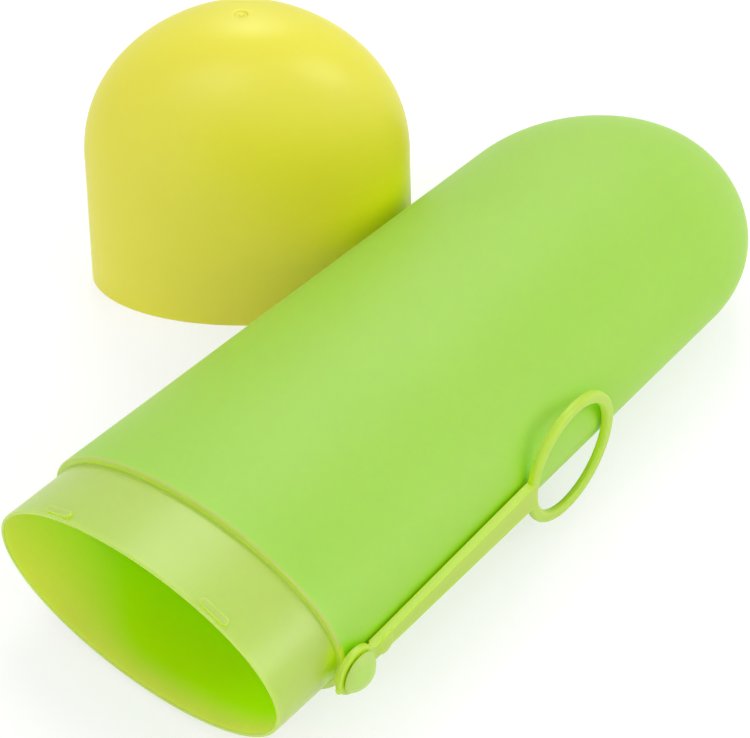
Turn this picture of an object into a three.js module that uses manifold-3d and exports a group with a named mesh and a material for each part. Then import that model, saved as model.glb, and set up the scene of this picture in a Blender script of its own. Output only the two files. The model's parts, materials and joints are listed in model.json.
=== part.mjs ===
// A travel toothbrush case of moulded plastic, open: an oval case with a stepped neck and a domed
// end, the domed cap that pushes over the neck, and a hanging strap on a stud at the shoulder.
// Millimetres, +Z up. The case lies on its broad side with its mouth towards -X, its strap side
// towards -Y, and the cap stands on its rim on the other side.

import * as THREE from "three";
import { mergeVertices } from "three/addons/utils/BufferGeometryUtils.js";
import Module from "manifold-3d";

const wasm = await Module();
wasm.setup();

// Case, measured at the shoulder that the cap's rim seats on
const CASE_HALF_WIDTH = 32;
const CASE_HALF_THICKNESS = 17.3;
const CASE_LENGTH = 143.5; // shoulder to the far end
const CASE_TAPER = 2.42; // loss of half width from the shoulder to the dome
const CASE_DOME_LENGTH = 31.8;
const CASE_DOME_POWER = { width: 1.95, thickness: 2.2 }; // 2 would be an ellipse
const CASE_WALL = 2;
const SHOULDER_ROUND = 0.6;

// Neck and its snap beads
const NECK_LENGTH = 14;
const NECK_WALL = 0.7;
const NECK_CLEARANCE = 0.1; // at the lip, to the inside of the cap
const LIP_ROUND = 0.25;
const BEAD_LENGTH = 5.8;
const BEAD_WIDTH = 1.4;
const BEAD_HEIGHT = 0.25;
const BEAD_FROM_LIP = 1.4;
const BEAD_ANGLE = 57; // degrees on the section, from the strap's side and from the other

// Cap
const CAP_SKIRT_LENGTH = 28.4;
const CAP_DOME_LENGTH = 32.2;
const CAP_DOME_POWER = { width: 2.08, thickness: 2.7 };
const CAP_DRAFT = 0.86; // loss of half width along the skirt
const CAP_WALL = 0.8;
const CAP_RIM_ROUND = 0.25;
const GROOVE_CLEARANCE = 0.15; // round the beads, in the groove that takes them
const CAP_CENTRE_X = 79;
const CAP_STAND_OFF = 25.95; // from the case's side to the cap's centre
const CAP_TURN = 41.48; // degrees about the upright axis

// Strap and the stud that it turns on
const STRAP_THICKNESS = 1.7;
const STRAP_WIDTH_AT_EYELET = 3.45;
const STRAP_WIDTH_AT_RING = 5.8;
const STRAP_EDGE_ROUND = 0.35;
const STRAP_GAP = 0.3; // to the case behind it and to the stud's head in front
const EYELET_RADIUS = 4.4;
const EYELET_RELIEF = 0.45; // cut from its back, where the cap's rim passes
const RELIEF_RADIUS = 5;
const RING_DISTANCE = 60; // from the stud's axis to the ring's centre
const RING_OUTER_RADIUS = 12.5;
const RING_INNER_RADIUS = 10.3;
const RING_THICKNESS = 1.6;
const RING_EDGE_ROUND = 0.62;
const GATE_NUB_DISTANCE = 7.3;
const GATE_NUB_LENGTH = 3.8;
const GATE_NUB_WIDTH = 4.3;
const GATE_NUB_HEIGHT = 0.3;
const STUD_RADIUS = 0.9;
const STUD_CLEARANCE = 0.3; // in the eyelet's hole
const STUD_FROM_SHOULDER = 0.05; // from the stud's side to the shoulder
const STUD_ROOT = 1.2; // depth in the case's wall
const HEAD_RADIUS = 3.7;
const HEAD_RIM = 0.25;
const HEAD_CROWN = 1.9;

// Fineness of the facets
const SECTION_STEPS = 56;
const DOME_STEPS = 12;
const EDGE_STEPS = 3;
const ROUND_STEPS = 40;

const CASE_COLOUR = 0xa6d957;
const CAP_COLOUR = 0xd6d340;
const STRAP_COLOUR = 0xb2d95e;

const QUARTER_TURN = Math.PI / 2;
const caseBarrel = CASE_LENGTH - CASE_DOME_LENGTH;
const sideAngle = Math.atan2(CASE_TAPER, caseBarrel);

// One oval section of a loft
function station(along, halfWidth, halfThickness) {
  return { along, halfWidth, halfThickness };
}

// A closed loft along X through oval sections, from a point on the axis to a point on the axis
function ovalLoft(stations) {
  const positions = [];
  for (const { along, halfWidth, halfThickness } of stations) {
    for (let step = 0; step < SECTION_STEPS; step += 1) {
      const angle = (2 * Math.PI * step) / SECTION_STEPS;
      positions.push(along, halfWidth * Math.cos(angle), halfThickness * Math.sin(angle));
    }
  }
  const triangles = [];
  const last = stations.length - 1;
  for (let ring = 0; ring < last; ring += 1) {
    for (let step = 0; step < SECTION_STEPS; step += 1) {
      const next = (step + 1) % SECTION_STEPS;
      const here = ring * SECTION_STEPS;
      const ahead = here + SECTION_STEPS;
      if (ring > 0) {
        triangles.push(here + step, ahead + step, here + next);
      }
      if (ring < last - 1) {
        triangles.push(here + next, ahead + step, ahead + next);
      } else if (ring === 0) {
        triangles.push(here, ahead + step, ahead + next);
      }
    }
  }
  const geometry = new THREE.BufferGeometry();
  geometry.setAttribute("position", new THREE.Float32BufferAttribute(positions, 3));
  geometry.setIndex(triangles);
  return geometry;
}

// Sections of a dome from just past its foot to its point, fuller in thickness than in width
function domeStations(foot, length, halfWidth, halfThickness, power) {
  const sections = [];
  for (let step = 1; step <= DOME_STEPS; step += 1) {
    const angle = (QUARTER_TURN * step) / DOME_STEPS;
    const reach = step === DOME_STEPS ? 1 : Math.sin(angle);
    const width = halfWidth * (1 - reach ** power.width) ** (1 / power.width);
    const thickness = halfThickness * (1 - reach ** power.thickness) ** (1 / power.thickness);
    sections.push(station(foot + length * reach, width, thickness));
  }
  return sections;
}

// Steps of a rounded edge: how far each lies from the end face and from the side
function roundedEdge(radius) {
  const steps = [];
  for (let step = 0; step <= EDGE_STEPS; step += 1) {
    const angle = (QUARTER_TURN * step) / EDGE_STEPS;
    steps.push({ fromEnd: radius * (1 - Math.sin(angle)), fromSide: radius * (1 - Math.cos(angle)) });
  }
  return steps;
}

function solidOf(geometry) {
  const bare = geometry.clone();
  bare.deleteAttribute("normal");
  bare.deleteAttribute("uv");
  const merged = mergeVertices(bare, 1e-4);
  const solid = new wasm.Mesh({
    numProp: 3,
    vertProperties: new Float32Array(merged.attributes.position.array),
    triVerts: new Uint32Array(merged.index.array),
  });
  return new wasm.Manifold(solid);
}

function geometryOf(solid) {
  const { vertProperties, triVerts } = solid.getMesh();
  const geometry = new THREE.BufferGeometry();
  geometry.setAttribute("position", new THREE.Float32BufferAttribute(vertProperties, 3));
  geometry.setIndex(new THREE.Uint32BufferAttribute(triVerts, 1));
  geometry.computeVertexNormals();
  return geometry;
}

function namedMesh(name, geometry, colour, roughness) {
  const material = new THREE.MeshStandardMaterial({ color: colour, roughness, metalness: 0 });
  const mesh = new THREE.Mesh(geometry, material);
  mesh.name = name;
  return mesh;
}

// How far the cap's side has drawn in at a depth from its rim
function capDraftAt(depth) {
  return (CAP_DRAFT * depth) / CAP_SKIRT_LENGTH;
}

// Inset of the straight neck from the case's side, so that a seated cap is flush with the case
const neckInset = CAP_WALL + NECK_CLEARANCE + capDraftAt(NECK_LENGTH);

// A section of the case's mouth end, inset from the size at the shoulder
function shoulderStation(along, inset) {
  return station(along, CASE_HALF_WIDTH - inset, CASE_HALF_THICKNESS - inset);
}

// The case: one shell, from the far end along the outside to the lip and back along the inside
function caseShell() {
  const domeHalfWidth = CASE_HALF_WIDTH - CASE_TAPER;
  const dome = domeStations(caseBarrel, CASE_DOME_LENGTH, domeHalfWidth, CASE_HALF_THICKNESS, CASE_DOME_POWER);
  const outside = [...dome.reverse(), station(caseBarrel, domeHalfWidth, CASE_HALF_THICKNESS)];
  for (const { fromEnd, fromSide } of roundedEdge(SHOULDER_ROUND)) {
    outside.push(shoulderStation(fromEnd, fromSide));
  }
  outside.push(shoulderStation(0, neckInset));
  for (const { fromEnd, fromSide } of roundedEdge(LIP_ROUND)) {
    outside.push(shoulderStation(fromEnd - NECK_LENGTH, neckInset + fromSide));
  }
  const inside = [];
  const mouthInset = neckInset + NECK_WALL;
  for (const { fromEnd, fromSide } of roundedEdge(LIP_ROUND).reverse()) {
    inside.push(shoulderStation(fromEnd - NECK_LENGTH, mouthInset - fromSide));
  }
  const innerHalfWidth = domeHalfWidth - CASE_WALL;
  const innerHalfThickness = CASE_HALF_THICKNESS - CASE_WALL;
  const innerLength = CASE_DOME_LENGTH - CASE_WALL;
  inside.push(station(caseBarrel, innerHalfWidth, innerHalfThickness));
  inside.push(...domeStations(caseBarrel, innerLength, innerHalfWidth, innerHalfThickness, CASE_DOME_POWER));
  return ovalLoft([...outside, ...inside]);
}

// Four low pads with round ends across the neck, two on each broad face, that snap into the cap's groove
function neckBeads() {
  const beads = [];
  for (const degrees of [BEAD_ANGLE, 180 - BEAD_ANGLE, 180 + BEAD_ANGLE, 360 - BEAD_ANGLE]) {
    const angle = THREE.MathUtils.degToRad(degrees);
    const y = (CASE_HALF_WIDTH - neckInset) * Math.cos(angle);
    const z = (CASE_HALF_THICKNESS - neckInset) * Math.sin(angle);
    const slopeY = -(CASE_HALF_WIDTH - neckInset) * Math.sin(angle);
    const slopeZ = (CASE_HALF_THICKNESS - neckInset) * Math.cos(angle);
    const bead = new THREE.CapsuleGeometry(BEAD_WIDTH / 2, BEAD_LENGTH - BEAD_WIDTH, 4, 12);
    bead.scale(1, 1, (2 * BEAD_HEIGHT) / BEAD_WIDTH);
    bead.rotateX(Math.atan2(slopeZ, slopeY));
    bead.translate(BEAD_FROM_LIP - NECK_LENGTH, y, z);
    beads.push(bead);
  }
  return beads;
}

// The stud's axis stands square to the tapered side, just behind the shoulder
const studX = STUD_FROM_SHOULDER + STUD_RADIUS;
const studY = -(CASE_HALF_WIDTH - studX * Math.tan(sideAngle));
const headSeat = 2 * STRAP_GAP + STRAP_THICKNESS;

// Turns a shape that stands on the XZ plane with +Y outwards to the strap side of the case
function toStrapSide(object) {
  object.rotateX(Math.PI);
  object.rotateZ(sideAngle);
  object.translate(studX, studY, 0);
  return object;
}

// Stud and the head formed over the eyelet, a thin rim under a lens-like crown
function strapStud() {
  const headTop = headSeat + HEAD_RIM;
  const profile = [
    new THREE.Vector2(0, -STUD_ROOT),
    new THREE.Vector2(STUD_RADIUS, -STUD_ROOT),
    new THREE.Vector2(STUD_RADIUS, headSeat),
    new THREE.Vector2(HEAD_RADIUS, headSeat),
  ];
  const sphere = (HEAD_RADIUS ** 2 + HEAD_CROWN ** 2) / (2 * HEAD_CROWN);
  const centre = headTop + HEAD_CROWN - sphere;
  const edgeAngle = Math.atan2(headTop - centre, HEAD_RADIUS);
  const crown = new THREE.EllipseCurve(0, centre, sphere, sphere, edgeAngle, QUARTER_TURN);
  profile.push(...crown.getPoints(2 * EDGE_STEPS));
  profile[profile.length - 1].x = 0;
  return toStrapSide(new THREE.LatheGeometry(profile, ROUND_STEPS));
}

function caseBody() {
  let solid = solidOf(caseShell());
  for (const bead of neckBeads()) {
    solid = solid.add(solidOf(bead));
  }
  solid = solid.add(solidOf(strapStud()));
  return namedMesh("case_body", geometryOf(solid), CASE_COLOUR, 0.55);
}

// The cap as a loft along X with its rim at 0, a groove inside for the neck's beads
function capShell() {
  const footHalfWidth = CASE_HALF_WIDTH - CAP_DRAFT;
  const footHalfThickness = CASE_HALF_THICKNESS - CAP_DRAFT;
  const foot = station(CAP_SKIRT_LENGTH, footHalfWidth, footHalfThickness);
  const dome = domeStations(CAP_SKIRT_LENGTH, CAP_DOME_LENGTH, footHalfWidth, footHalfThickness, CAP_DOME_POWER);
  const outside = [...dome.reverse(), foot];
  for (const { fromEnd, fromSide } of roundedEdge(CAP_RIM_ROUND)) {
    outside.push(shoulderStation(fromEnd, fromSide));
  }
  const inside = [];
  for (const { fromEnd, fromSide } of roundedEdge(CAP_RIM_ROUND).reverse()) {
    inside.push(shoulderStation(fromEnd, CAP_WALL - fromSide + capDraftAt(fromEnd)));
  }
  const grooveCentre = NECK_LENGTH - BEAD_FROM_LIP;
  const grooveDepth = BEAD_HEIGHT - NECK_CLEARANCE + GROOVE_CLEARANCE;
  const grooveHalf = BEAD_WIDTH / 2 + GROOVE_CLEARANCE;
  for (const [offset, depth] of [[-grooveHalf - grooveDepth, 0], [-grooveHalf, grooveDepth],
    [grooveHalf, grooveDepth], [grooveHalf + grooveDepth, 0]]) {
    const along = grooveCentre + offset;
    inside.push(shoulderStation(along, CAP_WALL + capDraftAt(along) - depth));
  }
  const innerHalfWidth = footHalfWidth - CAP_WALL;
  const innerHalfThickness = footHalfThickness - CAP_WALL;
  const innerLength = CAP_DOME_LENGTH - CAP_WALL;
  inside.push(station(CAP_SKIRT_LENGTH, innerHalfWidth, innerHalfThickness));
  inside.push(...domeStations(CAP_SKIRT_LENGTH, innerLength, innerHalfWidth, innerHalfThickness, CAP_DOME_POWER));
  return ovalLoft([...outside, ...inside]);
}

function cap() {
  const shell = capShell();
  shell.rotateY(-QUARTER_TURN);
  const mesh = namedMesh("cap", geometryOf(solidOf(shell)), CAP_COLOUR, 0.5);
  mesh.position.set(CAP_CENTRE_X, CASE_HALF_WIDTH + CAP_STAND_OFF, 0);
  mesh.rotation.z = THREE.MathUtils.degToRad(CAP_TURN);
  return mesh;
}

// Eyelet and tapered bar in the XY plane, along X from the stud to the middle of the ring's band
function strapBar() {
  const barEnd = RING_DISTANCE - (RING_OUTER_RADIUS + RING_INNER_RADIUS) / 2;
  const startHalf = STRAP_WIDTH_AT_EYELET / 2;
  const endHalf = STRAP_WIDTH_AT_RING / 2;
  const joinAngle = Math.asin(startHalf / EYELET_RADIUS);
  const outline = new THREE.Shape();
  outline.absarc(0, 0, EYELET_RADIUS, joinAngle, 2 * Math.PI - joinAngle, false);
  outline.lineTo(barEnd, -endHalf);
  outline.lineTo(barEnd, endHalf);
  outline.closePath();
  const hole = new THREE.Path();
  hole.absarc(0, 0, STUD_RADIUS + STUD_CLEARANCE, 0, 2 * Math.PI, true);
  outline.holes.push(hole);
  const bar = new THREE.ExtrudeGeometry(outline, {
    depth: STRAP_THICKNESS - 2 * STRAP_EDGE_ROUND,
    curveSegments: ROUND_STEPS / 2,
    bevelEnabled: true,
    bevelThickness: STRAP_EDGE_ROUND,
    bevelSize: STRAP_EDGE_ROUND,
    bevelOffset: -STRAP_EDGE_ROUND,
    bevelSegments: EDGE_STEPS - 1,
  });
  bar.translate(0, 0, STRAP_EDGE_ROUND);
  return bar;
}

// The ring: a band with rounded edges, turned about its own axis
function strapRing() {
  const middle = (RING_OUTER_RADIUS + RING_INNER_RADIUS) / 2;
  const halfBand = (RING_OUTER_RADIUS - RING_INNER_RADIUS) / 2 - RING_EDGE_ROUND;
  const halfThickness = RING_THICKNESS / 2 - RING_EDGE_ROUND;
  const section = [];
  for (const [side, face, start] of [[1, -1, -1], [1, 1, 0], [-1, 1, 1], [-1, -1, 2]]) {
    for (let step = 0; step <= EDGE_STEPS; step += 1) {
      const angle = QUARTER_TURN * (start + step / EDGE_STEPS);
      const radius = middle + side * halfBand + RING_EDGE_ROUND * Math.cos(angle);
      section.push(new THREE.Vector2(radius, face * halfThickness + RING_EDGE_ROUND * Math.sin(angle)));
    }
  }
  section.push(section[0].clone());
  const ring = new THREE.LatheGeometry(section, ROUND_STEPS);
  ring.rotateX(QUARTER_TURN);
  ring.translate(RING_DISTANCE, 0, RING_THICKNESS / 2);
  return ring;
}

// Room behind the eyelet, cut from the bar's back face round the stud's axis
function eyeletRelief() {
  const relief = new THREE.CylinderGeometry(RELIEF_RADIUS, RELIEF_RADIUS, 2 * EYELET_RELIEF, ROUND_STEPS);
  relief.rotateX(QUARTER_TURN);
  return relief;
}

// The low round pad of the gate, on the bar's outer face and just over its edges
function gateNub() {
  const nub = new THREE.SphereGeometry(1, 16, 8);
  nub.scale(GATE_NUB_LENGTH / 2, GATE_NUB_WIDTH / 2, GATE_NUB_HEIGHT);
  nub.translate(GATE_NUB_DISTANCE, 0, STRAP_THICKNESS);
  return nub;
}

function strap() {
  const bar = solidOf(strapBar()).subtract(solidOf(eyeletRelief()));
  const solid = bar.add(solidOf(strapRing())).add(solidOf(gateNub()));
  const geometry = geometryOf(solid);
  geometry.rotateX(-QUARTER_TURN);
  geometry.translate(0, STRAP_GAP, 0);
  return namedMesh("strap", toStrapSide(geometry), STRAP_COLOUR, 0.45);
}

// The lying case with its strap, its axis half a thickness above the table
const lyingCase = new THREE.Group();
lyingCase.position.z = CASE_HALF_THICKNESS;
lyingCase.add(caseBody(), strap());

// The origin is under the middle of the whole set, on the table
const toothbrushCase = new THREE.Group();
toothbrushCase.add(lyingCase, cap());
const bounds = new THREE.Box3().setFromObject(toothbrushCase, true);
const middle = bounds.getCenter(new THREE.Vector3());
toothbrushCase.position.set(-middle.x, -middle.y, -bounds.min.z);

export default toothbrushCase;
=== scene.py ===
"""Dresses a packed travel toothbrush case: an oval green case, its yellow cap and a hanging strap."""

import json
import math
from typing import NamedTuple

import bmesh
import bpy
from bpy.props import FloatProperty, FloatVectorProperty, IntProperty, PointerProperty
from mathutils import Matrix, Vector


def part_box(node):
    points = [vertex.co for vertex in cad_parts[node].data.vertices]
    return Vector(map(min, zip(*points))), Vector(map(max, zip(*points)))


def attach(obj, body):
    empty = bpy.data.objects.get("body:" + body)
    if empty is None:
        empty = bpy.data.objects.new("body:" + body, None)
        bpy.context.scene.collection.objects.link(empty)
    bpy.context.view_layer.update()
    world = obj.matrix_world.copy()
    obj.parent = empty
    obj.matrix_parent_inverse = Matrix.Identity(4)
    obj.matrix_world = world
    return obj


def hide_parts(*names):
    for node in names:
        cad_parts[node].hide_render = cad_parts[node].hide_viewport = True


bl_info = {
    "name": "Toothbrush Case",
    "version": (1, 0, 0),
    "blender": (4, 5, 0),
    "location": "View3D > Sidebar > Brush Case",
    "description": "Builds an open travel toothbrush case with its cap and hanging strap",
    "category": "Object",
}

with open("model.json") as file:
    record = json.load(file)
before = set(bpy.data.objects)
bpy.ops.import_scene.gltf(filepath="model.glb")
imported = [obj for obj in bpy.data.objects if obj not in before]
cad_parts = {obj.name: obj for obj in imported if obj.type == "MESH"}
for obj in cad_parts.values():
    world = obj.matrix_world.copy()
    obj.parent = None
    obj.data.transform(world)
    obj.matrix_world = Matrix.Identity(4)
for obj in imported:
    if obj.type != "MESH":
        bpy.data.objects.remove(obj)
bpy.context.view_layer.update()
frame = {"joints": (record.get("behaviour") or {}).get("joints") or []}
MM = 0.001
QUARTER = math.pi / 2
WHITE = (1, 1, 1, 1)

# Places that the frame gives
CASE_LOW, CASE_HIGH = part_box("case_body")
CAP_LOW, CAP_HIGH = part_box("cap")
SWIVEL = next(joint for joint in frame["joints"] if joint["name"] == "strap_swivel")
STUD_POINT = Vector(SWIVEL["pos_m"])
STUD_AXIS = Vector(SWIVEL["axis"]).normalized()

# Material slots of the case, and the slot of the cap's inside
BODY_SKIN, NECK_SKIN, INNER_SKIN, HEAD_SKIN = range(4)
CAP_INNER_SKIN = 1

# Meshes: points this close are one, and joined flat faces are kept this far out of one plane
SAME_POINT = 1e-7
FACE_STEP = 0.02 * MM
CREASE_ANGLE = math.radians(32)
EDGE_STEPS = 5
ROUND_PROFILE = 0.5
# A section this close to either end of a straight wall keeps the wall's edges crisp
EDGE_SUPPORT = 0.25 * MM
SHOULDER_FILLET = 0.25 * MM
BAR_PARTS = 36

# The round mark of the gate at a dome's pole, as radius and depth in mm, and the least half width outside it
GATE_MARK = ((0, 0), (0.3, 0.02), (0.45, 0.3), (1, 0.32), (1.2, 0.26), (1.32, 0.06), (1.45, 0.01), (1.8, 0))
OUTSIDE_MARK = 2.5 * MM

# Snap beads: rounding of the ends as a share of the width and of the rim as a share of the height
BEAD_END_SHARE = 0.48
BEAD_RIM_SHARE = 0.8
# A bead is cut at its middle and three times to either side, a twelfth of its length apart, for bending
BEAD_CUTS = 3
BEAD_PARTS = 12

# The stud's head: rounding under its edge as a share of its rim, and how far out its crown begins
HEAD_UNDER_SHARE = 0.6
HEAD_UNDER_STEPS = 4
HEAD_CROWN_SHARE = 0.97
HEAD_CROWN_STEPS = 16

# The low pad on the strap's bar and the stub of the gate at the eyelet
PAD_PLACE = 7.3 * MM
PAD_RADII = (1.9 * MM, 2.15 * MM, 0.3 * MM)
STUB_ANGLE = math.radians(201)
STUB_INSET = 0.1 * MM
STUB_RISE = 0.6 * MM
STUB_RADII = (0.55 * MM, 0.95 * MM, 0.5 * MM)

# Painted glow: emission on the inside of the case that stands in for daylight coming through the wall
THROUGH_WALL_GLOW = (0.004, 0.05, 0)
# How far the painted light reaches in from the lip, near and far, and where on Y it starts to reach further
LIT_LIP_DEPTH = 6.5 * MM
LIT_LIP_FAR_DEPTH = 28 * MM
LIT_LIP_MIDDLE = -20 * MM

# What all the plastics share
CLOUD_SCALE = 28
CLOUD_AMOUNT = 0.8
SCUFF_TONE_SHARE = 0.5
SCUFF_WHITE = 0.45
BUMP_STRENGTH = 0.35
PLASTIC_IOR = 1.49
GLOW_WEIGHT = 0.9

# Kinds of group sockets, and the sockets of a node that mixes colours
VALUE = "NodeSocketFloat"
COLOUR = "NodeSocketColor"
MIX_SHARE, MIX_FIRST, MIX_SECOND = 0, 6, 7
MIX_RESULT = 2

# The stage: tones for the light that reaches the part, and tones where the stage itself is seen
FLOOR_RADIUS = 3
FLOOR_ROUGHNESS = 0.9
FLOOR_TONE, FLOOR_SEEN_TONE = 0.92, 0.4
FLOOR_SEEN_LIFT = 0.6
SKY_LIGHT, SKY_SEEN = 0.85, 1
LIGHT_AIM = Vector((6 * MM, -4.3 * MM, 15 * MM))
CAMERA_AIM = Vector((6.756 * MM, -3.7786 * MM, 0))
CAMERA_AZIMUTH, CAMERA_ELEVATION = -50.697, 42.549
CAMERA_DISTANCE_MM = 437.406
CAMERA_LENS, CAMERA_SENSOR = 110.155, 36
CAMERA_CLIP_START = 0.01


class CornerShade(NamedTuple):
    """Painted shade in narrow corners: its reach, where it begins and is full, and its shares of the tone.
    """

    reach: float
    open_share: float
    closed_share: float
    tone_shares: tuple


class Finish(NamedTuple):
    """How a moulding looks apart from its tone; light spreads in it by the three glow lengths."""

    cloud_shares: tuple
    corners: CornerShade
    roughness: float
    gloss: float
    grain_scale: float
    grain_depth: float
    scuffs: float
    glow_mm: tuple


class Station(NamedTuple):
    """One oval section of a shell in half widths, and the skin of the faces that lead to it."""

    along: float
    width: float
    thick: float
    skin: int


# Painted shade: narrow corners take a deeper tone by these shares, standing in for shade filled with light
# through and off the green plastic; the cap's long reach paints it on its low side next to the case.
CASE_CORNER_SHADE = CornerShade(8 * MM, 0.92, 0.55, (0.95, 1.2, 0))
NECK_CORNER_SHADE = CornerShade(5 * MM, 0.8, 0.45, (1.4, 1.5, 0.15))
STRAP_CORNER_SHADE = CornerShade(5 * MM, 0.9, 0.5, (1.3, 1.25, 0))
CAP_CORNER_SHADE = CornerShade(25 * MM, 0.55, 0.25, (1.15, 1.2, 0))

CASE_FINISH = Finish(
    cloud_shares=(0.95, 0.985, 0.85),
    corners=CASE_CORNER_SHADE,
    roughness=0.5,
    gloss=0.5,
    grain_scale=2600,
    grain_depth=0.05 * MM,
    scuffs=0.05,
    glow_mm=(2, 3.5, 0.5),
)
NECK_FINISH = Finish(
    cloud_shares=(0.96, 0.985, 0.9),
    corners=NECK_CORNER_SHADE,
    roughness=0.33,
    gloss=0.5,
    grain_scale=1800,
    grain_depth=0.02 * MM,
    scuffs=0.04,
    glow_mm=(2, 3, 0.5),
)
INSIDE_FINISH = Finish(
    cloud_shares=(0.96, 0.99, 0.9),
    corners=CASE_CORNER_SHADE,
    roughness=0.4,
    gloss=0.02,
    grain_scale=1800,
    grain_depth=0.02 * MM,
    scuffs=0.03,
    glow_mm=(1.5, 2, 0.6),
)
CAP_FINISH = Finish(
    cloud_shares=(0.97, 0.97, 0.85),
    corners=CAP_CORNER_SHADE,
    roughness=0.42,
    gloss=0.7,
    grain_scale=2600,
    grain_depth=0.05 * MM,
    scuffs=0.06,
    glow_mm=(0.8, 0.8, 0.3),
)
CAP_INSIDE_FINISH = CAP_FINISH._replace(
    roughness=0.4,
    gloss=0.5,
    grain_scale=1800,
    grain_depth=0.02 * MM,
    scuffs=0.03,
)
STRAP_FINISH = Finish(
    cloud_shares=(0.96, 0.985, 0.88),
    corners=STRAP_CORNER_SHADE,
    roughness=0.4,
    gloss=0.55,
    grain_scale=2200,
    grain_depth=0.03 * MM,
    scuffs=0.05,
    glow_mm=(1.5, 2.5, 0.4),
)


def length(name, description, metres):
    """A length that a user may change."""
    return FloatProperty(
        name=name, description=description, default=metres, min=0, precision=5, unit="LENGTH"
    )


def angle(name, description, degrees):
    """An angle that a user may change."""
    return FloatProperty(name=name, description=description, default=math.radians(degrees), subtype="ANGLE")


def colour(name, description, red, green, blue):
    """A linear colour that a user may change."""
    return FloatVectorProperty(
        name=name, description=description, default=(red, green, blue), min=0, max=1, size=3, subtype="COLOR"
    )


def dome_curve(description, width, thickness):
    """The curve of a dome in its two directions."""
    return FloatVectorProperty(
        name="Dome powers", description=description, default=(width, thickness), size=2
    )


def count(name, description, number):
    """A fineness that a user may change."""
    return IntProperty(name=name, description=description, default=number, min=4)


class CaseSizes(bpy.types.PropertyGroup):
    """Sizes of the case, measured at the shoulder that the cap seats on."""

    half_width: length("Half width", "Half of the oval's width at the shoulder", 32 * MM)
    half_thickness: length("Half thickness", "Half of the oval's thickness", (CASE_HIGH.z - CASE_LOW.z) / 2)
    neck_length: length("Neck length", "From the shoulder to the lip", 14 * MM)
    dome_length: length("Dome length", "Length of the domed end", 31.8 * MM)
    dome_powers: dome_curve("Fullness of the dome in width and in thickness, 2 is an ellipse", 1.95, 2.2)
    taper: length("Taper", "Loss of half width from the shoulder to the dome", 2.42 * MM)
    wall: length("Wall", "Thickness of the case's wall", 2 * MM)
    shoulder_round: length("Shoulder round", "Radius of the shoulder's edge", 0.6 * MM)
    step: length("Step", "Inset of the neck from the case's side", 1.324 * MM)
    neck_wall: length("Neck wall", "Thickness of the wall at the lip", 0.7 * MM)
    lip_round: length("Lip round", "Radius of the lip's edges", 0.25 * MM)
    bead_length: length("Bead length", "Length of a snap bead", 5.8 * MM)
    bead_width: length("Bead width", "Width of a snap bead", 1.4 * MM)
    bead_height: length("Bead height", "Height of a snap bead", 0.25 * MM)
    bead_from_lip: length("Bead from lip", "From the lip to the middle of a snap bead", 1.4 * MM)
    bead_angle: angle("Bead angle", "Place of a bead on the oval", 57)
    segments: count("Segments", "Faces round the oval", 160)


class CapSizes(bpy.types.PropertyGroup):
    """Sizes of the cap, measured from its rim."""

    half_width: length("Half width", "Half of the oval's width at the rim", 32 * MM)
    half_thickness: length("Half thickness", "Half of the oval's thickness at the rim", 17.3 * MM)
    skirt: length("Skirt", "Height of the straight part", 28.4 * MM)
    dome_powers: dome_curve("Fullness of the dome in width and in thickness, 2 is an ellipse", 2.08, 2.7)
    draft: length("Draft", "Loss of half width along the skirt", 0.86 * MM)
    wall: length("Wall", "Thickness of the cap's wall", 0.8 * MM)
    rim_round: length("Rim round", "Radius of the rim's edges", 0.25 * MM)
    turn: angle("Turn", "Turn about the upright axis", 41.48)
    groove_height: length("Groove height", "From the rim to the groove for the neck's beads", 12.6 * MM)
    groove_depth: length("Groove depth", "Depth of the groove", 0.3 * MM)
    groove_width: length("Groove width", "Width of the groove's floor", 1.7 * MM)
    segments: count("Segments", "Faces round the oval", 160)


class StrapSizes(bpy.types.PropertyGroup):
    """Sizes of the strap and of the stud that it turns on."""

    thickness: length("Thickness", "Thickness of the bar", 1.7 * MM)
    gap: length("Gap", "From the strap to the case and to the stud's head", 0.3 * MM)
    eyelet_radius: length("Eyelet radius", "Outer radius of the eyelet", 4.4 * MM)
    relief: length("Relief", "Cut from the eyelet's back, where the cap's rim passes", 0.45 * MM)
    relief_radius: length("Relief radius", "Radius of that cut", 5 * MM)
    hole_radius: length("Hole radius", "Radius of the eyelet's hole", 1.2 * MM)
    edge_round: length("Edge round", "Radius of the bar's edges", 0.35 * MM)
    width_at_eyelet: length("Width at the eyelet", "Width of the bar where it leaves the eyelet", 3.45 * MM)
    width_at_ring: length("Width at the ring", "Width of the bar where it meets the ring", 5.8 * MM)
    ring_distance: length("Ring distance", "From the stud's axis to the ring's centre", 60 * MM)
    ring_outer: length("Ring outer radius", "Outer radius of the ring", 12.5 * MM)
    ring_inner: length("Ring inner radius", "Inner radius of the ring", 10.3 * MM)
    ring_thickness: length("Ring thickness", "Thickness of the ring", 1.6 * MM)
    ring_round: length("Ring round", "Radius of the ring's edges", 0.62 * MM)
    stud_radius: length("Stud radius", "Radius of the stud", 0.9 * MM)
    stud_root: length("Stud root", "Depth of the stud in the case's wall", 1.2 * MM)
    head_radius: length("Head radius", "Radius of the stud's formed head", 3.7 * MM)
    head_rim: length("Head rim", "Thickness of the head at its edge", 0.25 * MM)
    head_crown: length("Head crown", "Rise of the head's crown over its edge", 1.9 * MM)


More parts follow.
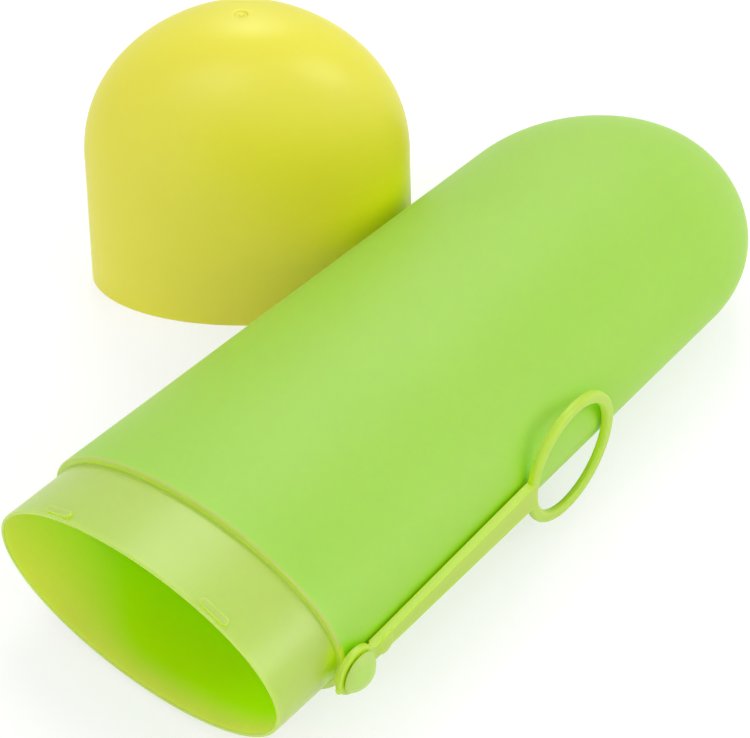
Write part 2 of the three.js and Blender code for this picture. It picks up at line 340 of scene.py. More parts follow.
class PlasticColours(bpy.types.PropertyGroup):
    """Colours of the mouldings."""

    case_green: colour("Case green", "The thick satin wall of the case", 0.324, 0.562, 0.063)
    # Painted light: the neck is the case's own plastic; its paler, yellower tone stands in for light through
    # its thin wall and for sheen, while its glossier finish is real.
    neck_lit_green: colour("Neck green", "The thin wall of the neck", 0.40, 0.50, 0.10)
    # Painted light: the inside is the case's own plastic; paler where light falls in near the lip, a deeper
    # green where only bounced light reaches.
    lit_lip_green: colour("Mouth green", "The inside of the case near the lip", 0.72, 0.67, 0.125)
    bounce_lit_green: colour("Inner green", "The inside of the case", 0.52, 0.80, 0.002)
    # Painted sheen: the stud's head is the case's own plastic; its paler, bluer tone stands in for a soft
    # sheen.
    head_sheen_green: colour("Head green", "The thin formed head of the strap's stud", 0.40, 0.58, 0.125)
    strap_green: colour("Strap green", "The thin moulding of the strap", 0.40, 0.55, 0.035)
    cap_yellow: colour("Cap yellow", "The cap", 0.71, 0.67, 0.03)


def dome_girth(share, power):
    """Half width of a dome, as a share of that at its foot, at a share of its length."""
    return max(0, 1 - share**power) ** (1 / power)


def dome_stations(foot, reach, powers, steps):
    """Sections of a dome from just past the section at its foot to its pole."""
    stations = []
    for step in range(1, steps + 1):
        share = math.sin(QUARTER * step / steps) if step < steps else 1
        width = foot.width * dome_girth(share, powers[0])
        thick = foot.thick * dome_girth(share, powers[1])
        stations.append(Station(foot.along + reach * share, width, thick, foot.skin))
    return stations


def gated_dome(foot, reach, powers, steps):
    """Sections of a dome from its pole to its foot, with the round mark of the gate at the pole."""
    stations = []
    for radius_mm, depth_mm in GATE_MARK:
        radius = radius_mm * MM
        across = dome_girth(radius / foot.width, powers[0])
        through = dome_girth(radius / foot.thick, powers[1])
        along = foot.along + reach * (across + through) / 2 - depth_mm * MM
        stations.append(Station(along, radius, radius, foot.skin))
    dome = dome_stations(foot, reach, powers, steps)
    outside = [station for station in dome if min(station.width, station.thick) > OUTSIDE_MARK]
    return [*stations, *reversed(outside), foot]


def rounded_edge(radius):
    """Steps of a quarter-round edge: how far each lies from the end face and from the side."""
    turns = [QUARTER * step / EDGE_STEPS for step in range(EDGE_STEPS + 1)]
    return [(radius * (1 - math.sin(turn)), radius * (1 - math.cos(turn))) for turn in turns]


def straight_stations(start, end, steps):
    """Sections of a straight wall up to its end, with one close to either end."""
    support = EDGE_SUPPORT / abs(end.along - start.along)
    shares = [support, *[step / steps for step in range(1, steps)], 1 - support, 1]
    stations = []
    for share in shares:
        along, width, thick = [a + (b - a) * share for a, b in zip(start[:3], end[:3])]
        stations.append(Station(along, width, thick, end.skin))
    return stations


def extrude_ring(mesh, ring, skin):
    """Extrudes a ring of edges and returns the new ring's vertices and edges."""
    made = bmesh.ops.extrude_edge_only(mesh, edges=ring)["geom"]
    verts = [item for item in made if isinstance(item, bmesh.types.BMVert)]
    edges = [item for item in made if isinstance(item, bmesh.types.BMEdge)]
    fresh = set(verts)
    new_ring = [edge for edge in edges if fresh.issuperset(edge.verts)]
    for edge in new_ring:
        for face in edge.link_faces:
            face.material_index = skin
            face.smooth = True
    return verts, new_ring


def oval_shell(stations, segments):
    """A closed shell along X, extruded ring by ring from a pole on the axis to a pole on the axis."""
    mesh = bmesh.new()
    first_pole, here = stations[:2]
    upright = Matrix.Rotation(QUARTER, 4, "Y")
    ring = bmesh.ops.create_circle(mesh, segments=segments, radius=1, matrix=upright)["verts"]
    bmesh.ops.scale(mesh, vec=(1, here.width, here.thick), verts=ring)
    bmesh.ops.translate(mesh, vec=(here.along, 0, 0), verts=ring)
    edges = mesh.edges[:]
    tip, _tip_edges = extrude_ring(mesh, edges, here.skin)
    bmesh.ops.pointmerge(mesh, verts=tip, merge_co=(first_pole.along, 0, 0))
    for station in stations[2:]:
        verts, edges = extrude_ring(mesh, edges, station.skin)
        if station.width == 0:
            bmesh.ops.pointmerge(mesh, verts=verts, merge_co=(station.along, 0, 0))
            break
        bmesh.ops.scale(mesh, vec=(1, station.width / here.width, station.thick / here.thick), verts=verts)
        bmesh.ops.translate(mesh, vec=(station.along - here.along, 0, 0), verts=verts)
        here = station
    bmesh.ops.recalc_face_normals(mesh, faces=mesh.faces)
    return mesh


def round_off(mesh, geom, radius, segments=EDGE_STEPS, affect="EDGES"):
    """Rounds edges of a solid, or the corners of a flat profile."""
    bmesh.ops.bevel(
        mesh,
        geom=geom,
        offset=radius,
        affect=affect,
        segments=segments,
        profile=ROUND_PROFILE,
        material=-1,
    )


def cut_across(mesh, axis, places):
    """Cuts the faces of a mesh across an axis, at places along it."""
    for place in places:
        everything = mesh.verts[:] + mesh.edges[:] + mesh.faces[:]
        bmesh.ops.bisect_plane(mesh, geom=everything, plane_co=axis * place, plane_no=axis)


def turned(mesh, steps):
    """Turns the profile in a mesh all the way about Z."""
    profile = mesh.verts[:] + mesh.edges[:]
    bmesh.ops.spin(mesh, geom=profile, axis=(0, 0, 1), angle=2 * math.pi, steps=steps, use_merge=True)
    bmesh.ops.remove_doubles(mesh, verts=mesh.verts, dist=SAME_POINT)
    bmesh.ops.recalc_face_normals(mesh, faces=mesh.faces)
    return mesh


def turned_band(inner, outer, low, high, edge_round, steps):
    """A ring about Z with a rounded rectangular section."""
    mesh = bmesh.new()
    corners = [(inner, low), (outer, low), (outer, high), (inner, high)]
    verts = [mesh.verts.new((radius, 0, height)) for radius, height in corners]
    for index, vert in enumerate(verts):
        mesh.edges.new((verts[index - 1], vert))
    round_off(mesh, verts, edge_round, affect="VERTICES")
    return turned(mesh, steps)


def turned_solid(points, steps=64):
    """A solid about Z from a profile of radius and height that starts and ends on the axis."""
    mesh = bmesh.new()
    verts = [mesh.verts.new((radius, 0, height)) for radius, height in points]
    for start, end in zip(verts, verts[1:]):
        mesh.edges.new((start, end))
    return turned(mesh, steps)


def finished_object(name, mesh, place=None):
    """Makes an object of a bmesh, with its place in its vertices."""
    if place is not None:
        bmesh.ops.transform(mesh, matrix=place, verts=mesh.verts)
    data = bpy.data.meshes.new(name)
    mesh.to_mesh(data)
    mesh.free()
    made = bpy.data.objects.new(name, data)
    bpy.context.scene.collection.objects.link(made)
    return made


def join_solids(base, others, operation="UNION"):
    """Joins or cuts solids with exact booleans, keeps the result in the base and removes the others."""
    for other in others:
        boolean = base.modifiers.new(other.name, "BOOLEAN")
        boolean.operation = operation
        boolean.solver = "EXACT"
        boolean.object = other
    bpy.context.view_layer.update()
    graph = bpy.context.evaluated_depsgraph_get()
    joined = bpy.data.meshes.new_from_object(base.evaluated_get(graph))
    base.modifiers.clear()
    old = base.data
    base.data = joined
    bpy.data.meshes.remove(old)
    joined.name = base.name
    for other in others:
        data = other.data
        bpy.data.objects.remove(other)
        bpy.data.meshes.remove(data)
    return base


def shade(piece):
    """Smooth faces with creases where the surface turns sharply."""
    piece.data.polygons.foreach_set("use_smooth", [True] * len(piece.data.polygons))
    piece.data.set_sharp_from_angle(angle=CREASE_ANGLE)
    normals = piece.modifiers.new("flat_faces_lead", "WEIGHTED_NORMAL")
    normals.keep_sharp = True


def add_material(piece, *materials):
    """Fills the material slots of a piece in order."""
    for material in materials:
        piece.data.materials.append(material)


def strap_place():
    """From the strap's own frame (along, up, outwards from the case) to the shared frame."""
    up = Vector((0, 0, 1))
    along = up.cross(STUD_AXIS)
    columns = Matrix((along, up, STUD_AXIS)).transposed().to_4x4()
    return Matrix.Translation(STUD_POINT) @ columns


def new_group(name, inputs, outputs):
    """An empty shader node group with named sockets, and its input and output nodes."""
    group = bpy.data.node_groups.new(name, "ShaderNodeTree")
    for socket, kind, default in inputs:
        made = group.interface.new_socket(socket, in_out="INPUT", socket_type=kind)
        made.default_value = default
    for socket, kind in outputs:
        group.interface.new_socket(socket, in_out="OUTPUT", socket_type=kind)
    return group, group.nodes.new("NodeGroupInput"), group.nodes.new("NodeGroupOutput")


def add_node(tree, kind, links=(), **settings):
    """Adds a node, sets its properties, and joins or sets its sockets by name or index."""
    node = tree.nodes.new(kind)
    for key, value in settings.items():
        setattr(node, key, value)
    for socket, source in links:
        if isinstance(source, bpy.types.NodeSocket):
            tree.links.new(source, node.inputs[socket])
        else:
            node.inputs[socket].default_value = source
    return node


def object_place(tree):
    """The place on the object, in its own coordinates."""
    return add_node(tree, "ShaderNodeTexCoord").outputs["Object"]


def noise(tree, place, scale, detail, roughness=0.5):
    """A value from 0 to 1 that wanders with the place."""
    links = [("Vector", place), ("Scale", scale), ("Detail", detail), ("Roughness", roughness)]
    return add_node(tree, "ShaderNodeTexNoise", links).outputs["Fac"]


def calculated(tree, operation, *values):
    """The result of an operation on values."""
    return add_node(tree, "ShaderNodeMath", enumerate(values), operation=operation).outputs["Value"]


def ranged(tree, value, start, end, low=0, high=1, interpolation="LINEAR"):
    """A value that goes from low to high while another goes from start to end."""
    links = [("Value", value), ("From Min", start), ("From Max", end), ("To Min", low), ("To Max", high)]
    return add_node(tree, "ShaderNodeMapRange", links, interpolation_type=interpolation).outputs["Result"]


def mixed(tree, share, first, second, blend="MIX"):
    """Two colours mixed by a share of the second."""
    links = [(MIX_SHARE, share), (MIX_FIRST, first), (MIX_SECOND, second)]
    return add_node(tree, "ShaderNodeMix", links, data_type="RGBA", blend_type=blend).outputs[MIX_RESULT]


def flow_tint_group():
    """Slow clouds of tone, as in translucent plastic that flowed into a mould."""
    if "flow_tint" in bpy.data.node_groups:
        return bpy.data.node_groups["flow_tint"]
    group, given, result = new_group(
        "flow_tint",
        [
            ("Colour", COLOUR, (0.5, 0.5, 0.5, 1)),
            ("Deepening", COLOUR, (0.9, 0.9, 0.9, 1)),
            ("Cloud scale", VALUE, 40),
            ("Amount", VALUE, 0.5),
        ],
        [("Colour", COLOUR)],
    )
    clouds = noise(group, object_place(group), given.outputs["Cloud scale"], detail=3, roughness=0.55)
    share = ranged(group, clouds, start=0.35, end=0.65)
    weight = calculated(group, "MULTIPLY", share, given.outputs["Amount"])
    tinted = mixed(group, weight, given.outputs["Colour"], given.outputs["Deepening"], blend="MULTIPLY")
    group.links.new(tinted, result.inputs["Colour"])
    return group


def satin_skin_group():
    """Fine grain of a spark-eroded mould: a height for bump and a roughness that varies a little."""
    if "satin_skin" in bpy.data.node_groups:
        return bpy.data.node_groups["satin_skin"]
    group, given, result = new_group(
        "satin_skin",
        [("Grain scale", VALUE, 2500), ("Roughness", VALUE, 0.5), ("Roughness spread", VALUE, 0.06)],
        [("Height", VALUE), ("Roughness", VALUE)],
    )
    place = object_place(group)
    grain = noise(group, place, given.outputs["Grain scale"], detail=2, roughness=0.6)
    wide = noise(group, place, 90, detail=4, roughness=0.6)
    centred = calculated(group, "SUBTRACT", wide, 0.5)
    spread = given.outputs["Roughness spread"]
    rough = calculated(group, "MULTIPLY_ADD", centred, spread, given.outputs["Roughness"])
    group.links.new(grain, result.inputs["Height"])
    group.links.new(rough, result.inputs["Roughness"])
    return group


def scuffs_group():
    """Sparse hairline scuffs from handling, as a mask."""
    if "handling_scuffs" in bpy.data.node_groups:
        return bpy.data.node_groups["handling_scuffs"]
    group, given, result = new_group(
        "handling_scuffs", [("Density", VALUE, 0.5), ("Scale", VALUE, 150)], [("Mask", VALUE)]
    )
    place = object_place(group)
    stretched = add_node(
        group,
        "ShaderNodeMapping",
        [("Vector", place), ("Rotation", (0.4, 0.3, 0.6)), ("Scale", (1, 30, 20))],
    )
    streaks = noise(group, stretched.outputs["Vector"], given.outputs["Scale"], detail=1)
    patches = noise(group, place, 45, detail=1)
    thin = ranged(group, streaks, start=0.73, end=0.78)
    where = ranged(group, patches, start=0.52, end=0.68)
    both = calculated(group, "MULTIPLY", thin, where)
    mask = calculated(group, "MULTIPLY", both, given.outputs["Density"])
    group.links.new(mask, result.inputs["Mask"])
    return group


def lip_light_group():
    """How deep a place lies behind the case's lip, as a share that rises more slowly on its far side; it
    grades the painted light in from the lip.
    """
    if "painted_lip_light" in bpy.data.node_groups:
        return bpy.data.node_groups["painted_lip_light"]
    group, given, result = new_group(
        "painted_lip_light",
        [
            ("Lip", VALUE, 0),
            ("Depth", VALUE, 0.02),
            ("Far depth", VALUE, 0.02),
            ("Middle", VALUE, 0),
            ("Far side", VALUE, 0.02),
        ],
        [("Share", VALUE)],
    )
    parts = add_node(group, "ShaderNodeSeparateXYZ", [("Vector", object_place(group))])
    behind = calculated(group, "SUBTRACT", parts.outputs["X"], given.outputs["Lip"])
    reach = ranged(
        group,
        parts.outputs["Y"],
        start=given.outputs["Middle"],
        end=given.outputs["Far side"],
        low=given.outputs["Depth"],
        high=given.outputs["Far depth"],
        interpolation="SMOOTHSTEP",
    )
    share = ranged(group, behind, start=0, end=reach, interpolation="SMOOTHSTEP")
    group.links.new(share, result.inputs["Share"])
    return group


def corner_shade_group():
    """A mask of narrow corners for painted shade, which stands in for the shade there that light coming
    mostly through the plastic fills with colour.
    """
    if "painted_corner_shade" in bpy.data.node_groups:
        return bpy.data.node_groups["painted_corner_shade"]
    group, given, result = new_group(
        "painted_corner_shade",
        [("Reach", VALUE, 0.005), ("Open", VALUE, 0.9), ("Closed", VALUE, 0.5)],
        [("Mask", VALUE)],
    )
    reach = [("Distance", given.outputs["Reach"])]
    openness = add_node(group, "ShaderNodeAmbientOcclusion", reach, samples=8)
    mask = ranged(group, openness.outputs["AO"], start=given.outputs["Open"], end=given.outputs["Closed"])
    group.links.new(mask, result.inputs["Mask"])
    return group


def moulded_plastic(name, tone, finish):
    """Slightly translucent moulded plastic with a satin skin, and shade painted into its narrow corners."""
    material = bpy.data.materials.new(name)
    material.use_nodes = True
    tree = material.node_tree
    shader = tree.nodes["Principled BSDF"]
    tint = add_node(
        tree,
        "ShaderNodeGroup",
        [
            ("Colour", (*tone, 1)),
            ("Deepening", (*finish.cloud_shares, 1)),
            ("Cloud scale", CLOUD_SCALE),
            ("Amount", CLOUD_AMOUNT),
        ],
        node_tree=flow_tint_group(),
        name="Tint",
    )
    scuffs = add_node(tree, "ShaderNodeGroup", [("Density", finish.scuffs)], node_tree=scuffs_group())
    pale = [SCUFF_TONE_SHARE * channel + SCUFF_WHITE for channel in tone]
    scuffed = mixed(tree, scuffs.outputs["Mask"], tint.outputs["Colour"], (*pale, 1))
    # Painted shade: an occlusion mask mixes a deeper tone into narrow corners.
    corners = finish.corners
    corner_shade_mask = add_node(
        tree,
        "ShaderNodeGroup",
        [("Reach", corners.reach), ("Open", corners.open_share), ("Closed", corners.closed_share)],
        node_tree=corner_shade_group(),
    )
    corner_shade_tone = [min(1, channel * share) for channel, share in zip(tone, corners.tone_shares)]
    corner_shaded = mixed(tree, corner_shade_mask.outputs["Mask"], scuffed, (*corner_shade_tone, 1))
    skin = add_node(
        tree,
        "ShaderNodeGroup",
        [("Grain scale", finish.grain_scale), ("Roughness", finish.roughness)],
        node_tree=satin_skin_group(),
    )
    bump = add_node(
        tree,
        "ShaderNodeBump",
        [("Height", skin.outputs["Height"]), ("Strength", BUMP_STRENGTH), ("Distance", finish.grain_depth)],
    )
    tree.links.new(corner_shaded, shader.inputs["Base Color"])
    tree.links.new(skin.outputs["Roughness"], shader.inputs["Roughness"])
    tree.links.new(bump.outputs["Normal"], shader.inputs["Normal"])
    shader.inputs["IOR"].default_value = PLASTIC_IOR
    shader.inputs["Specular IOR Level"].default_value = finish.gloss
    shader.inputs["Subsurface Weight"].default_value = GLOW_WEIGHT
    shader.inputs["Subsurface Radius"].default_value = finish.glow_mm
    shader.inputs["Subsurface Scale"].default_value = MM
    return material


def inside_plastic(lit_lip_tone, bounce_lit_tone):
    """The inside of the case with painted light: paler near the lip and further in on the far side, a deeper
    green behind that stands in for light bounced between the walls, and a faint painted glow.
    """
    material = moulded_plastic("case_inside", bounce_lit_tone, INSIDE_FINISH)
    tree = material.node_tree
    # The mask that grades the painted light in from the lip.
    depth = add_node(
        tree,
        "ShaderNodeGroup",
        [
            ("Lip", CASE_LOW.x),
            ("Depth", LIT_LIP_DEPTH),
            ("Far depth", LIT_LIP_FAR_DEPTH),
            ("Middle", LIT_LIP_MIDDLE),
            ("Far side", CASE_HIGH.y),
        ],
        node_tree=lip_light_group(),
    )
    # Painted light: the pale lip tone grades into the deeper bounce-lit green.
    light_graded = mixed(tree, depth.outputs["Share"], (*lit_lip_tone, 1), (*bounce_lit_tone, 1))
    tree.links.new(light_graded, tree.nodes["Tint"].inputs["Colour"])
    shader = tree.nodes["Principled BSDF"]
    # Painted glow for daylight through the wall.
    shader.inputs["Emission Color"].default_value = (*THROUGH_WALL_GLOW, 1)
    shader.inputs["Emission Strength"].default_value = 1
    return material


def case_stations(sizes):
    """Sections of the case from the far pole along the outside to the lip, and back along the inside."""
    barrel = CASE_HIGH.x - CASE_LOW.x - sizes.neck_length - sizes.dome_length
    width, thick = sizes.half_width, sizes.half_thickness
    dome_foot = Station(barrel, width - sizes.taper, thick, BODY_SKIN)
    edge = sizes.shoulder_round
    taper_at_edge = sizes.taper * edge / barrel
    stations = gated_dome(dome_foot, sizes.dome_length, sizes.dome_powers, steps=40)
    barrel_end = Station(edge, width - taper_at_edge, thick, BODY_SKIN)
    stations += straight_stations(stations[-1], barrel_end, steps=24)
    # The shoulder's round takes the neck's skin: its glossier finish gives a real highlight, and its paler
    # tone paints a highlight along the edge.
    for from_end, from_side in rounded_edge(edge)[1:]:
        stations.append(Station(from_end, width - from_side, thick - from_side, NECK_SKIN))
    for from_side, from_end in rounded_edge(SHOULDER_FILLET):
        inset = sizes.step - from_side
        stations.append(Station(-from_end, width - inset, thick - inset, NECK_SKIN))
    lip = sizes.step
    lip_edge = Station(sizes.lip_round - sizes.neck_length, width - lip, thick - lip, NECK_SKIN)
    stations += straight_stations(stations[-1], lip_edge, steps=8)
    for from_end, from_side in rounded_edge(sizes.lip_round)[1:]:
        inset = lip + from_side
        stations.append(Station(from_end - sizes.neck_length, width - inset, thick - inset, NECK_SKIN))
    mouth = lip + sizes.neck_wall
    for from_end, from_side in reversed(rounded_edge(sizes.lip_round)):
        inset = mouth - from_side
        stations.append(Station(from_end - sizes.neck_length, width - inset, thick - inset, NECK_SKIN))
    inner_foot = Station(barrel, dome_foot.width - sizes.wall, thick - sizes.wall, INNER_SKIN)
    stations += straight_stations(stations[-1], inner_foot, steps=16)
    stations += dome_stations(inner_foot, sizes.dome_length - sizes.wall, sizes.dome_powers, steps=24)
    return stations


def snap_bead(sizes, turn, place):
    """A low pad with round ends that follows the neck's curve near the lip."""
    width, thick = sizes.half_width - sizes.step, sizes.half_thickness - sizes.step
    slope = Vector((0, -width * math.sin(turn), thick * math.cos(turn)))
    bend_radius = slope.length**3 / (width * thick)
    across = slope.normalized()
    point = Vector((sizes.bead_from_lip - sizes.neck_length, width * math.cos(turn), thick * math.sin(turn)))
    along = Vector((1, 0, 0))
    columns = Matrix((along, across, along.cross(across))).transposed().to_4x4()
    height = sizes.bead_height
    mesh = bmesh.new()
    block = Matrix.Diagonal((sizes.bead_width, sizes.bead_length, 2 * height, 1))
    bmesh.ops.create_cube(mesh, size=1, matrix=block)
    upright = [edge for edge in mesh.edges if abs(edge.verts[0].co.z - edge.verts[1].co.z) > height]
    round_off(mesh, upright, BEAD_END_SHARE * sizes.bead_width, segments=6)
    rims = [edge for edge in mesh.edges if edge.verts[0].co.z > 0 and edge.verts[1].co.z > 0]
    round_off(mesh, rims, BEAD_RIM_SHARE * height, segments=4)
    cuts = [cut * sizes.bead_length / BEAD_PARTS for cut in range(-BEAD_CUTS, BEAD_CUTS + 1)]
    cut_across(mesh, Vector((0, 1, 0)), cuts)
    for vert in mesh.verts:
        vert.co.z -= vert.co.y**2 / (2 * bend_radius)
    for face in mesh.faces:
        face.material_index = NECK_SKIN
    return finished_object("bead", mesh, place @ Matrix.Translation(point) @ columns)


def strap_stud(sizes):
    """The stud on the case's side, with its lens-like head formed over the eyelet."""
    seat = 2 * sizes.gap + sizes.thickness
    radius, crown = sizes.head_radius, sizes.head_crown
    sphere = (radius**2 + crown**2) / (2 * crown)
    centre = seat + sizes.head_rim + crown - sphere
    points = [(0, -sizes.stud_root), (sizes.stud_radius, -sizes.stud_root), (sizes.stud_radius, seat)]
    under = HEAD_UNDER_SHARE * sizes.head_rim
    points.append((radius - under, seat))
    for step in range(1, HEAD_UNDER_STEPS + 1):
        turn = QUARTER * step / HEAD_UNDER_STEPS
        points.append((radius - under + under * math.sin(turn), seat + under * (1 - math.cos(turn))))
    edge_turn = math.asin(radius / sphere)
    crown_shares = [1 - step / HEAD_CROWN_STEPS for step in range(1, HEAD_CROWN_STEPS + 1)]
    for share in (HEAD_CROWN_SHARE, *crown_shares):
        turn = edge_turn * share
        points.append((sphere * math.sin(turn), centre + sphere * math.cos(turn)))
    mesh = turned_solid(points)
    for face in mesh.faces:
        face.material_index = HEAD_SKIN
    return finished_object("stud", mesh, strap_place())


class BuildCase(bpy.types.Operator):
    """Builds the green case with its neck, snap beads and strap stud"""

    bl_idname = "brush_case.build_case"
    bl_label = "Build Case"

    def execute(self, context):
        sizes = context.scene.case_sizes
        colours = context.scene.plastic_colours
        shoulder = (CASE_LOW.x + sizes.neck_length, CASE_HIGH.y - sizes.half_width, sizes.half_thickness)
        place = Matrix.Translation(shoulder)
        shell = finished_object("case_shell", oval_shell(case_stations(sizes), sizes.segments), place)
        add_material(
            shell,
            moulded_plastic("case_satin", colours.case_green, CASE_FINISH),
            # The neck: a real glossier finish with a paler tone of painted light.
            moulded_plastic("neck_gloss", colours.neck_lit_green, NECK_FINISH),
            inside_plastic(colours.lit_lip_green, colours.bounce_lit_green),
            # The stud's head: the case's finish with a paler tone of painted sheen.
            moulded_plastic("head_satin", colours.head_sheen_green, CASE_FINISH),
        )
        first = sizes.bead_angle
        turns = [first, math.pi - first, math.pi + first, -first]
        beads = [snap_bead(sizes, turn, place) for turn in turns]
        join_solids(shell, [strap_stud(context.scene.strap_sizes), *beads])
        shade(shell)
        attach(shell, "case")
        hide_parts("case_body")
        return {"FINISHED"}


def cap_stations(sizes):
    """Sections of the cap from its top along the outside to the rim, and back along the inside."""
    width, thick, wall = sizes.half_width, sizes.half_thickness, sizes.wall
    dome_foot = Station(sizes.skirt, width - sizes.draft, thick - sizes.draft, BODY_SKIN)
    reach = CAP_HIGH.z - CAP_LOW.z - sizes.skirt
    edge = sizes.rim_round
    edge_draft = sizes.draft * edge / sizes.skirt
    stations = gated_dome(dome_foot, reach, sizes.dome_powers, steps=44)
    skirt_end = Station(edge, width - edge_draft, thick - edge_draft, BODY_SKIN)
    stations += straight_stations(stations[-1], skirt_end, steps=14)
    for from_end, from_side in rounded_edge(edge)[1:]:
        stations.append(Station(from_end, width - from_side, thick - from_side, BODY_SKIN))
    for from_end, from_side in reversed(rounded_edge(edge)):
        inset = wall - from_side
        stations.append(Station(from_end, width - inset, thick - inset, CAP_INNER_SKIN))
    half, depth = sizes.groove_width / 2, sizes.groove_depth
    for offset, cut in ((-half - depth, 0), (-half, depth), (half, depth), (half + depth, 0)):
        along = sizes.groove_height + offset
        inset = wall + sizes.draft * along / sizes.skirt - cut
        stations.append(Station(along, width - inset, thick - inset, CAP_INNER_SKIN))
    inner_foot = Station(sizes.skirt, dome_foot.width - wall, dome_foot.thick - wall, CAP_INNER_SKIN)
    stations += straight_stations(stations[-1], inner_foot, steps=8)
    stations += dome_stations(inner_foot, reach - wall, sizes.dome_powers, steps=28)
    return stations


class BuildCap(bpy.types.Operator):
    """Builds the yellow cap that stands on its rim beside the case"""

    bl_idname = "brush_case.build_cap"
    bl_label = "Build Cap"

    def execute(self, context):
        sizes = context.scene.cap_sizes
        colours = context.scene.plastic_colours
        centre = (CAP_LOW + CAP_HIGH) / 2
        rim = Matrix.Translation((centre.x, centre.y, CAP_LOW.z))
        place = rim @ Matrix.Rotation(sizes.turn, 4, "Z") @ Matrix.Rotation(-QUARTER, 4, "Y")
        shell = finished_object("cap_shell", oval_shell(cap_stations(sizes), sizes.segments), place)
        add_material(
            shell,
            moulded_plastic("cap_satin", colours.cap_yellow, CAP_FINISH),
            moulded_plastic("cap_inside", colours.cap_yellow, CAP_INSIDE_FINISH),
        )
        shade(shell)
        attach(shell, "cap")
        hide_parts("cap")
        return {"FINISHED"}


def strap_bar(sizes):
    """The flat tapered bar between the eyelet and the ring, with rounded edges."""
    start = (sizes.hole_radius + sizes.eyelet_radius) / 2
    end = sizes.ring_distance - (sizes.ring_inner + sizes.ring_outer) / 2
    span = end - start
    mesh = bmesh.new()
    bmesh.ops.create_cube(mesh, size=1)
    bmesh.ops.scale(mesh, vec=(span, sizes.width_at_eyelet, sizes.thickness), verts=mesh.verts)
    far = [vert for vert in mesh.verts if vert.co.x > 0]
    bmesh.ops.scale(mesh, vec=(1, sizes.width_at_ring / sizes.width_at_eyelet, 1), verts=far)
    middle = ((start + end) / 2, 0, sizes.gap + sizes.thickness / 2)
    bmesh.ops.translate(mesh, vec=middle, verts=mesh.verts)
    long_edges = [edge for edge in mesh.edges if abs(edge.verts[0].co.x - edge.verts[1].co.x) > span / 2]
    round_off(mesh, long_edges, sizes.edge_round)
    cut_across(mesh, Vector((1, 0, 0)), [start + span * cut / BAR_PARTS for cut in range(1, BAR_PARTS)])
    bar = finished_object("bar", mesh, strap_place())
    back = sizes.gap + sizes.relief + FACE_STEP
    relief = turned_solid([(0, 0), (sizes.relief_radius, 0), (sizes.relief_radius, back), (0, back)])
    return join_solids(bar, [finished_object("relief", relief, strap_place())], "DIFFERENCE")


def moulding_pads(sizes):
    """The low round pad on the bar's outer face, and the stub of the gate at the eyelet's end."""
    front = sizes.gap + sizes.thickness - FACE_STEP
    pad = bmesh.new()
    place = Matrix.Translation((PAD_PLACE, 0, front)) @ Matrix.Diagonal((*PAD_RADII, 1))
    bmesh.ops.create_uvsphere(pad, u_segments=36, v_segments=18, radius=1, matrix=place)
    stub = bmesh.new()
    reach = Matrix.Translation((sizes.eyelet_radius - STUB_INSET, 0, sizes.gap + sizes.relief + STUB_RISE))
    place = Matrix.Rotation(STUB_ANGLE, 4, "Z") @ reach @ Matrix.Diagonal((*STUB_RADII, 1))
    bmesh.ops.create_uvsphere(stub, u_segments=24, v_segments=12, radius=1, matrix=place)
    return [finished_object("pad", pad, strap_place()), finished_object("stub", stub, strap_place())]


class BuildStrap(bpy.types.Operator):
    """Builds the strap: eyelet, tapered bar and hanging ring in one moulding"""

    bl_idname = "brush_case.build_strap"
    bl_label = "Build Strap"

    def execute(self, context):
        sizes = context.scene.strap_sizes
        colours = context.scene.plastic_colours
        eyelet = turned_band(
            inner=sizes.hole_radius,
            outer=sizes.eyelet_radius,
            low=sizes.gap + sizes.relief,
            high=sizes.gap + sizes.thickness + FACE_STEP,
            edge_round=sizes.edge_round,
            steps=96,
        )
        ring = turned_band(
            inner=sizes.ring_inner,
            outer=sizes.ring_outer,
            low=sizes.gap + FACE_STEP,
            high=sizes.gap + sizes.ring_thickness,
            edge_round=sizes.ring_round,
            steps=144,
        )
        ring_place = strap_place() @ Matrix.Translation((sizes.ring_distance, 0, 0))
        strap = finished_object("hanging_strap", ring, ring_place)
        add_material(strap, moulded_plastic("strap_plastic", colours.strap_green, STRAP_FINISH))
        others = [strap_bar(sizes), finished_object("eyelet", eyelet, strap_place()), *moulding_pads(sizes)]
        join_solids(strap, others)
        shade(strap)
        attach(strap, "strap")
        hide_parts("strap")
        return {"FINISHED"}


def view_direction(azimuth, elevation):
    """The direction from the object to a viewer; azimuth 0 looks along +Y, in degrees."""
    turn, rise = math.radians(azimuth), math.radians(elevation)
    return Vector((math.sin(turn) * math.cos(rise), -math.cos(turn) * math.cos(rise), math.sin(rise)))


def facing_object(name, data, away, place):
    """Adds a light or a camera at a place, looking against a direction."""
    made = bpy.data.objects.new(name, data)
    bpy.context.scene.collection.objects.link(made)
    made.location = place
    made.rotation_mode = "QUATERNION"
    made.rotation_quaternion = away.to_track_quat("Z", "Y")
    return made


def softbox(name, azimuth, elevation, distance, width, height, radiance):
    """A rectangular area light that faces the object from a direction given as for the views."""
    light = bpy.data.lights.new(name, "AREA")
    light.shape = "RECTANGLE"
    light.size, light.size_y = width, height
    light.energy = radiance * math.pi * width * height
    away = view_direction(azimuth, elevation)
    facing_object(name, light, away, LIGHT_AIM + away * distance)


def seen_directly(tree):
    """1 for rays that show the surroundings: camera, glossy and transmission rays."""
    path = add_node(tree, "ShaderNodeLightPath")
    shown = calculated(tree, "MAXIMUM", path.outputs["Is Camera Ray"], path.outputs["Is Glossy Ray"])
    return calculated(tree, "MAXIMUM", shown, path.outputs["Is Transmission Ray"])


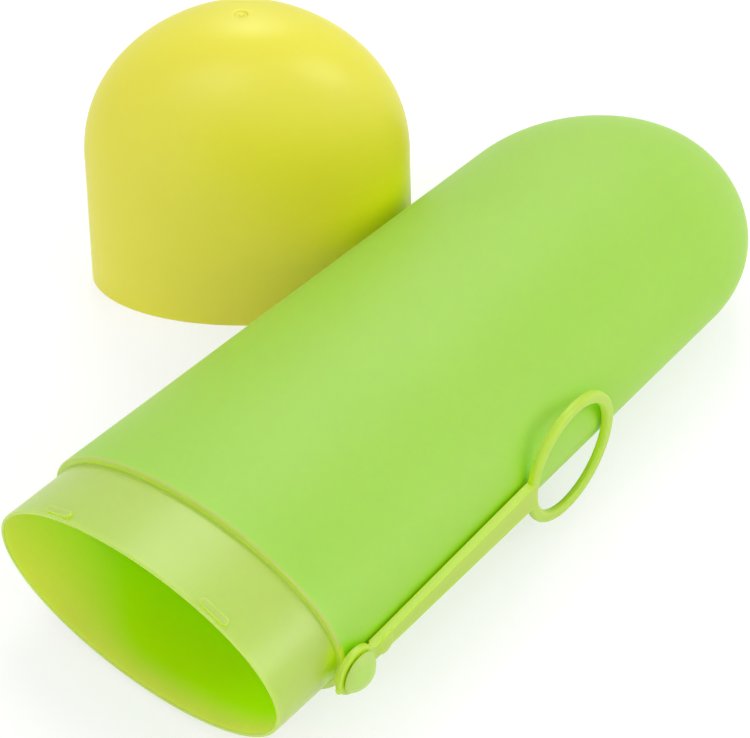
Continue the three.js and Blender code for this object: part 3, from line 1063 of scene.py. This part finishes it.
def floor_paint():
    """White that sends light up to the part; where it is seen it goes over into the white around it."""
    paint = bpy.data.materials.new("floor_white")
    paint.use_nodes = True
    tree = paint.node_tree
    shader = tree.nodes["Principled BSDF"]
    seen = seen_directly(tree)
    tone = ranged(tree, seen, start=0, end=1, low=FLOOR_TONE, high=FLOOR_SEEN_TONE)
    lift = calculated(tree, "MULTIPLY", seen, FLOOR_SEEN_LIFT)
    tree.links.new(tone, shader.inputs["Base Color"])
    tree.links.new(lift, shader.inputs["Emission Strength"])
    shader.inputs["Roughness"].default_value = FLOOR_ROUGHNESS
    shader.inputs["Specular IOR Level"].default_value = 0
    shader.inputs["Emission Color"].default_value = WHITE
    return paint


def white_tent():
    """An even white surround, brighter where it is seen than in the light that it gives."""
    world = bpy.data.worlds.new("white_tent")
    world.use_nodes = True
    tree = world.node_tree
    background = tree.nodes["Background"]
    background.inputs["Color"].default_value = WHITE
    strength = ranged(tree, seen_directly(tree), start=0, end=1, low=SKY_LIGHT, high=SKY_SEEN)
    tree.links.new(strength, background.inputs["Strength"])
    return world


class BuildStage(bpy.types.Operator):
    """Builds the pale floor, the soft studio light and the camera"""

    bl_idname = "brush_case.build_stage"
    bl_label = "Build Stage"

    def execute(self, context):
        scene = context.scene
        scene.view_settings.view_transform = "Standard"
        floor_mesh = bmesh.new()
        bmesh.ops.create_circle(floor_mesh, cap_ends=True, segments=96, radius=FLOOR_RADIUS)
        floor = finished_object("floor", floor_mesh)
        add_material(floor, floor_paint())
        scene.world = white_tent()
        softbox(
            "top_back_box", azimuth=128, elevation=55, distance=0.9, width=0.36, height=0.42, radiance=3.8
        )
        softbox("right_box", azimuth=18, elevation=35, distance=0.5, width=0.24, height=0.2, radiance=3.6)
        softbox("front_fill", azimuth=-70, elevation=32, distance=0.9, width=0.6, height=0.5, radiance=1.8)
        lens = bpy.data.cameras.new("camera")
        lens.sensor_width = CAMERA_SENSOR
        lens.lens = CAMERA_LENS
        lens.clip_start = CAMERA_CLIP_START
        away = view_direction(CAMERA_AZIMUTH, CAMERA_ELEVATION)
        scene.camera = facing_object("camera", lens, away, CAMERA_AIM + away * CAMERA_DISTANCE_MM * MM)
        return {"FINISHED"}


class BrushCasePanel(bpy.types.Panel):
    """Lists the steps that build the toothbrush case"""

    bl_idname = "VIEW3D_PT_brush_case"
    bl_label = "Toothbrush Case"
    bl_space_type = "VIEW_3D"
    bl_region_type = "UI"
    bl_category = "Brush Case"

    def draw(self, context):
        for operator in OPERATORS:
            self.layout.operator(operator.bl_idname)
        for group in SETTINGS:
            box = self.layout.box()
            settings = getattr(context.scene, group)
            for name in settings.bl_rna.properties.keys():
                if name not in ("rna_type", "name"):
                    box.prop(settings, name)


OPERATORS = (BuildCase, BuildCap, BuildStrap, BuildStage)
SETTINGS = {
    "case_sizes": CaseSizes,
    "cap_sizes": CapSizes,
    "strap_sizes": StrapSizes,
    "plastic_colours": PlasticColours,
}


def register():
    for owner in (*SETTINGS.values(), *OPERATORS, BrushCasePanel):
        bpy.utils.register_class(owner)
    for name, group in SETTINGS.items():
        setattr(bpy.types.Scene, name, PointerProperty(type=group))


def unregister():
    for name in SETTINGS:
        delattr(bpy.types.Scene, name)
    for owner in reversed((*SETTINGS.values(), *OPERATORS, BrushCasePanel)):
        bpy.utils.unregister_class(owner)


def main():
    register()
    bpy.ops.brush_case.build_case()
    bpy.ops.brush_case.build_cap()
    bpy.ops.brush_case.build_strap()
    bpy.ops.brush_case.build_stage()


if __name__ == "__main__":
    main()
